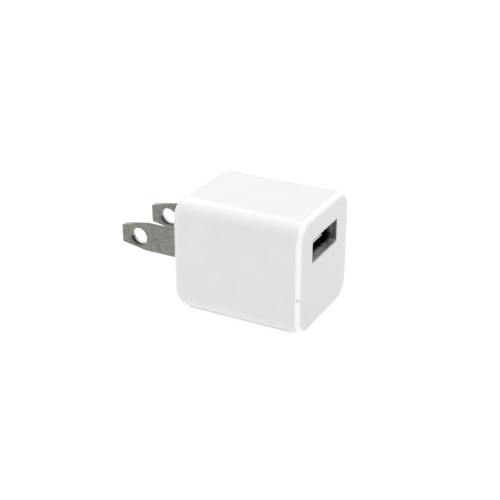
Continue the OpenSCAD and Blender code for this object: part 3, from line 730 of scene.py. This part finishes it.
class CHARGER_OT_components(Operator):
    """Build the components on the boards"""

    bl_idname = "charger.components"
    bl_label = "Components"

    def execute(self, context):
        epoxy = moulded("Chip epoxy", (0.025, 0.025, 0.025), 0.55, 0.2, 0.01)
        tinned = plated("Chip tin", (0.68, 0.68, 0.67), 0.28, 0.85, (1.0, 1.0, 1.0))
        for node, name in (("output_diode", "Output diode"), ("bridge_rectifier", "Bridge rectifier"),
                           ("controller_chip", "Controller chip"),
                           ("switching_transistor", "Switching transistor")):
            softened(node, name, 0.06, epoxy)
        opto = moulded("Opto epoxy", (0.66, 0.66, 0.62), 0.5, 0.05, 0.008)
        softened("optocoupler", "Optocoupler", 0.07, opto)
        glaze = moulded("Resistor glaze", (0.02, 0.02, 0.022), 0.35, 0.2, 0.006, coat=0.3)
        ceramic = moulded("Ceramic tan", (0.36, 0.24, 0.13), 0.5, 0.1, 0.01)
        for node, name, middle in (("output_chip_resistors", "Output chip resistors", glaze),
                                   ("mains_chip_resistors", "Mains chip resistors", glaze),
                                   ("output_chip_capacitors", "Output chip capacitors", ceramic),
                                   ("mains_chip_capacitors", "Mains chip capacitors", ceramic)):
            self.tipped_chips(node, name, middle, tinned)
        can = plated("Capacitor can", (0.78, 0.78, 0.79), 0.3, 0.9)
        dress(can, "output_capacitor_left", "output_capacitor_right")
        sleeve = moulded("Capacitor sleeve", (0.02, 0.05, 0.14), 0.3, 0.1, 0.004, coat=0.3)
        dress(sleeve, "input_capacitor_tall", "input_capacitor_short")
        low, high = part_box("fuse_resistor")
        bands = (
            (0.36, 0.04, (0.30, 0.11, 0.02)),
            (0.46, 0.04, (0.02, 0.02, 0.02)),
            (0.56, 0.04, (0.50, 0.36, 0.05)),
        )
        dress(banded("Resistor lacquer", (0.13, 0.28, 0.38), low.z, high.z, bands), "fuse_resistor")
        lacquer = moulded("Disc lacquer", (0.02, 0.10, 0.32), 0.25, 0.08, 0.008, coat=0.4)
        dress(lacquer, "suppression_capacitor")
        return {"FINISHED"}

    def tipped_chips(self, node, name, middle, ends):
        """Chip parts with tinned ends: each is cut across near both ends, and the ends are tinned."""
        bm = merged(node)
        for solid in islands(bm):
            points = {v for face in solid for v in face.verts}
            low = min(v.co.x for v in points)
            high = max(v.co.x for v in points)
            margin = 0.22 * (high - low)
            for cut in (low + margin, high - margin):
                edges = {edge for face in solid if face.is_valid for edge in face.edges}
                bmesh.ops.bisect_plane(
                    bm, geom=[*points, *edges, *solid], dist=MERGE, plane_co=(cut, 0.0, 0.0),
                    plane_no=(1.0, 0.0, 0.0),
                )
                solid = grown(solid)
                points = {v for face in solid for v in face.verts}
            for face in solid:
                middle_x = face.calc_center_median().x
                face.material_index = int(not low + margin < middle_x < high - margin)
        soften(bm, 0.05)
        piece(name.replace(" ", "_"), bm, middle, ends, replaces=(node,))


class CHARGER_OT_stage(Operator):
    """Make the floor, the lights and the camera"""

    bl_idname = "charger.stage"
    bl_label = "Stage"

    def execute(self, context):
        s = context.scene.charger_stage
        self.camera(context, s)
        self.floor(context, s)
        self.lights(context, s)
        context.scene.view_settings.view_transform = "Standard"
        return {"FINISHED"}

    def camera(self, context, s):
        back = Vector((
            math.sin(s.azimuth) * math.cos(s.elevation),
            -math.cos(s.azimuth) * math.cos(s.elevation),
            math.sin(s.elevation),
        ))
        data = bpy.data.cameras.new("Camera")
        data.lens = s.lens
        data.sensor_width = 36.0
        data.clip_start = 0.01
        made = bpy.data.objects.new("Camera", data)
        made.location = Vector(s.aim) + back * s.distance
        made.rotation_euler = (-back).to_track_quat("-Z", "Y").to_euler()
        context.scene.collection.objects.link(made)
        context.scene.camera = made

    def floor(self, context, s):
        f = Finish("Floor")
        skin = f.effect(effects()["skin"], **{"Cloud scale": 6.0, "Grain scale": 900.0})
        f.set(Base_Color=f.blend(skin["Cloud"], tone(s.floor, 0.995), s.floor), Roughness=0.8)
        f.bsdf.inputs["Specular IOR Level"].default_value = 0.1
        # Painted shadow: the floor's glow is switched off under the charger, inside its outline less
        # UNDERCUT, so the underside and the contact line get shade.
        low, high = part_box("housing")
        under = Vector((1.0, 1.0, 0.0)) * UNDERCUT
        zone = {"Centre": (low + high) / 2, "Half size": (high - low) / 2 - under, "Edge": 1.2 * MM}
        shadow_patch = f.effect(effects()["zone"], **zone)
        lit = f.blend(shadow_patch["Inside"], (1.0, 1.0, 1.0), (0.0, 0.0, 0.0))
        f.set(Emission_Color=lit, Emission_Strength=s.floor_glow)
        bm = bmesh.new()
        bmesh.ops.create_grid(bm, x_segments=1, y_segments=1, size=3.0)
        mesh = bpy.data.meshes.new("Floor")
        bm.to_mesh(mesh)
        bm.free()
        made = bpy.data.objects.new("Floor", mesh)
        mesh.materials.append(f.material)
        context.scene.collection.objects.link(made)

    def lights(self, context, s):
        world = bpy.data.worlds.new("Surround")
        world.use_nodes = True
        background = world.node_tree.nodes["Background"]
        background.inputs["Color"].default_value = (1.0, 1.0, 1.0, 1.0)
        background.inputs["Strength"].default_value = s.surround
        context.scene.world = world
        self.softbox(context, "Overhead", s.overhead_power, (0.0, 0.0, 0.7), 0.7)
        self.softbox(context, "Rear", s.rear_power, (0.3, 0.6, 0.7), 0.5)
        self.softbox(context, "Front", s.front_power, (0.1, -0.8, 0.3), 0.5)

    def softbox(self, context, name, power, place, size):
        data = bpy.data.lights.new(name, "AREA")
        data.energy = power
        data.size = size
        made = bpy.data.objects.new(name, data)
        made.location = place
        made.rotation_euler = (MIDDLE - Vector(place)).to_track_quat("-Z", "Y").to_euler()
        context.scene.collection.objects.link(made)


class CHARGER_PT_panel(Panel):
    """Settings and pieces of the charger"""

    bl_idname = "CHARGER_PT_panel"
    bl_label = "USB wall charger"
    bl_space_type = "VIEW_3D"
    bl_region_type = "UI"
    bl_category = "Charger"

    def draw(self, context):
        for settings in (context.scene.charger_colours, context.scene.charger_stage):
            box = self.layout.box()
            for key in settings.__annotations__:
                box.prop(settings, key)
        for step in STEPS:
            self.layout.operator(step.bl_idname)


SETTINGS = {"charger_colours": ChargerColours, "charger_stage": ChargerStage}
STEPS = (
    CHARGER_OT_stage,
    CHARGER_OT_casing,
    CHARGER_OT_blades,
    CHARGER_OT_receptacle,
    CHARGER_OT_boards,
    CHARGER_OT_transformer,
    CHARGER_OT_components,
)
CLASSES = (*SETTINGS.values(), *STEPS, CHARGER_PT_panel)


def register():
    for item in CLASSES:
        bpy.utils.register_class(item)
    for key, group in SETTINGS.items():
        setattr(bpy.types.Scene, key, PointerProperty(type=group))


def unregister():
    for key in SETTINGS:
        delattr(bpy.types.Scene, key)
    for item in reversed(CLASSES):
        bpy.utils.unregister_class(item)


def main():
    register()
    for step in STEPS:
        family, name = step.bl_idname.split(".")
        getattr(getattr(bpy.ops, family), name)()


if __name__ == "__main__":
    main()
